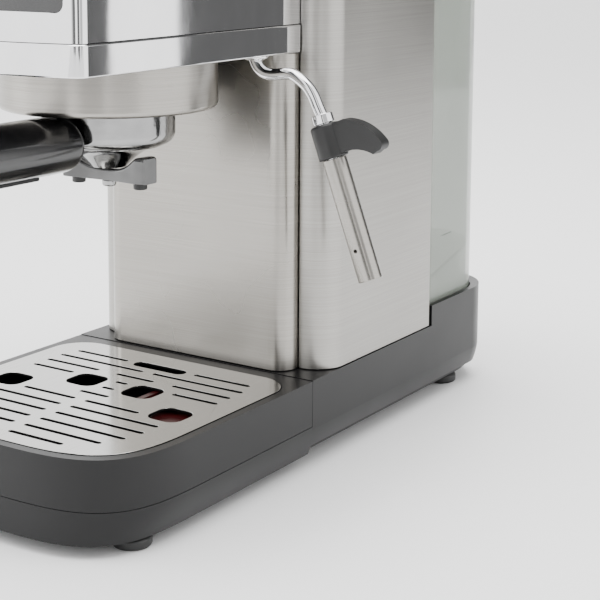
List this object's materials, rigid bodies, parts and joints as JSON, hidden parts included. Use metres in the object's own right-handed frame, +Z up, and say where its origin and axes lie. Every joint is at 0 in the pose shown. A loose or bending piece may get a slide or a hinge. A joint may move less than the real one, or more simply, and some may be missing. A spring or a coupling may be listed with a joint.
{
  "type": "espresso machine",
  "caption": "Slim home espresso machine with drawer drip tray, twin-spout portafilter, swivelling steam wand and rear lift-off water tank.",
  "frame": {"origin": "bottom centre of the whole machine's box, on the surface it stands on; the brewing group's axis is at x -0.0224, y -0.058", "axes": "+Z up, front (handle and drip tray) towards -Y, machine's right (steam wand) towards +X"},
  "size_m": [0.1956, 0.446, 0.3],
  "materials": {
    "brushed_steel": "fine straight brushing",
    "mirror_chrome": "polished mirror chrome",
    "satin_steel": "smooth satin stainless steel",
    "cast_metal": "polished casting with soft edges",
    "dark_plastic": "satin dark grey moulding",
    "gloss_black": "glossy black moulding",
    "inner_plastic": "plain black moulding",
    "black_rubber": "matt black rubber",
    "red_plastic": "dark red moulding",
    "clear_tank": "clear grey-green plastic",
    "bare_aluminium": "die-cast aluminium",
    "brass": "turned brass",
    "circuit_board": "green lacquered board",
    "silicone_hose": "translucent silicone",
    "amber_lens": "amber lens"
  },
  "bodies": {
    "machine": {"base_frame": "dark_plastic", "bottom_cover": "dark_plastic", "foot_front_left": "black_rubber", "foot_front_right": "black_rubber", "foot_rear_left": "black_rubber", "foot_rear_right": "black_rubber", "mains_inlet": "gloss_black", "front_column": "brushed_steel", "side_panel_left": "brushed_steel", "side_panel_right": "brushed_steel", "chassis": "inner_plastic", "rear_cover": "gloss_black", "tank_dock": "gloss_black", "head_frame": "dark_plastic", "chrome_band": "mirror_chrome", "head_shell": "mirror_chrome", "control_panel": "gloss_black", "control_board": "circuit_board", "lamp_lens": "amber_lens", "top_cover": "dark_plastic", "cup_plate": "satin_steel", "group_ring": "brushed_steel", "group_head": "bare_aluminium", "group_gasket": "black_rubber", "shower_screen": "satin_steel", "screen_screw": "satin_steel", "wand_socket": "mirror_chrome", "steam_valve": "brass", "boiler": "bare_aluminium", "pump": "inner_plastic", "pump_mount": "black_rubber", "solenoid_valve": "inner_plastic", "suction_hose": "silicone_hose", "pressure_pipe": "silicone_hose", "steam_pipe": "satin_steel"},
    "drip_tray": {"drip_tray": "dark_plastic"},
    "drip_plate": {"drip_plate": "satin_steel"},
    "tray_float": {"tray_float": "red_plastic"},
    "portafilter": {"portafilter_body": "cast_metal", "filter_basket": "satin_steel", "portafilter_handle": "gloss_black", "handle_strip": "dark_plastic", "twin_spout": "cast_metal", "spout_tip_left": "black_rubber", "spout_tip_right": "black_rubber", "spout_screw": "cast_metal"},
    "wand_ball": {"wand_ball": "mirror_chrome"},
    "steam_wand": {"wand_tube": "mirror_chrome", "wand_nut": "mirror_chrome", "wand_grip": "black_rubber", "wand_nozzle": "satin_steel"},
    "wand_sleeve": {"wand_sleeve": "brushed_steel"},
    "steam_knob": {"steam_knob": "gloss_black"},
    "steam_spindle": {"steam_spindle": "brass"},
    "water_tank": {"water_tank": "clear_tank"},
    "tank_lid": {"tank_lid": "gloss_black"},
    "tank_valve": {"tank_valve": "gloss_black"},
    "button_power": {"button_power": "mirror_chrome"},
    "button_brew": {"button_brew": "mirror_chrome"},
    "button_steam": {"button_steam": "mirror_chrome"}
  },
  "joints": [
    {"name": "drip_tray_slide", "type": "slide", "parent": "machine", "child": "drip_tray", "axis": [0, -1, 0], "range_m": [0, 0.15]},
    {"name": "drip_plate_lift", "type": "slide", "parent": "drip_tray", "child": "drip_plate", "axis": [0, 0, 1], "range_m": [0, 0.03]},
    {"name": "tray_float_drop", "type": "slide", "parent": "drip_tray", "child": "tray_float", "axis": [0, 0, -1], "range_m": [0, 0.008]},
    {"name": "portafilter_turn", "type": "hinge", "parent": "machine", "child": "portafilter", "pos_m": [-0.0224, -0.058, 0.1695], "axis": [0, 0, 1], "range_deg": [-55, 0]},
    {"name": "wand_swivel", "type": "hinge", "parent": "machine", "child": "wand_ball", "pos_m": [0.0252, -0.004, 0.209], "axis": [0, 0, 1], "range_deg": [-70, 25]},
    {"name": "wand_tilt", "type": "hinge", "parent": "wand_ball", "child": "steam_wand", "pos_m": [0.0252, -0.004, 0.209], "axis": [0, 1, 0], "range_deg": [-4, 4]},
    {"name": "wand_sleeve_pull", "type": "slide", "parent": "steam_wand", "child": "wand_sleeve", "axis": [0.3437, 0, -0.9391], "range_m": [0, 0.05]},
    {"name": "steam_knob_turn", "type": "hinge", "parent": "machine", "child": "steam_knob", "pos_m": [0.0524, 0.077, 0.255], "axis": [1, 0, 0], "range_deg": [0, 270]},
    {"name": "steam_spindle_travel", "type": "slide", "parent": "steam_knob", "child": "steam_spindle", "axis": [1, 0, 0], "range_m": [0, 0.0013]},
    {"name": "water_tank_lift", "type": "slide", "parent": "machine", "child": "water_tank", "axis": [0, 0, 1], "range_m": [0, 0.15]},
    {"name": "tank_lid_hinge", "type": "hinge", "parent": "water_tank", "child": "tank_lid", "pos_m": [-0.0224, 0.134, 0.2895], "axis": [1, 0, 0], "range_deg": [0, 85]},
    {"name": "tank_valve_lift", "type": "slide", "parent": "water_tank", "child": "tank_valve", "axis": [0, 0, 1], "range_m": [0, 0.004], "stiffness_N_per_m": 60},
    {"name": "button_power_press", "type": "slide", "parent": "machine", "child": "button_power", "axis": [0, 0.9646, -0.2639], "range_m": [0, 0.0025], "stiffness_N_per_m": 400},
    {"name": "button_brew_press", "type": "slide", "parent": "machine", "child": "button_brew", "axis": [0, 0.9646, -0.2639], "range_m": [0, 0.0025], "stiffness_N_per_m": 400},
    {"name": "button_steam_press", "type": "slide", "parent": "machine", "child": "button_steam", "axis": [0, 0.9646, -0.2639], "range_m": [0, 0.0025], "stiffness_N_per_m": 400}
  ],
  "couplings": [
    {"joint": "steam_spindle_travel", "follows": "steam_knob_turn", "m_per_rad": 0.00025}
  ]
}
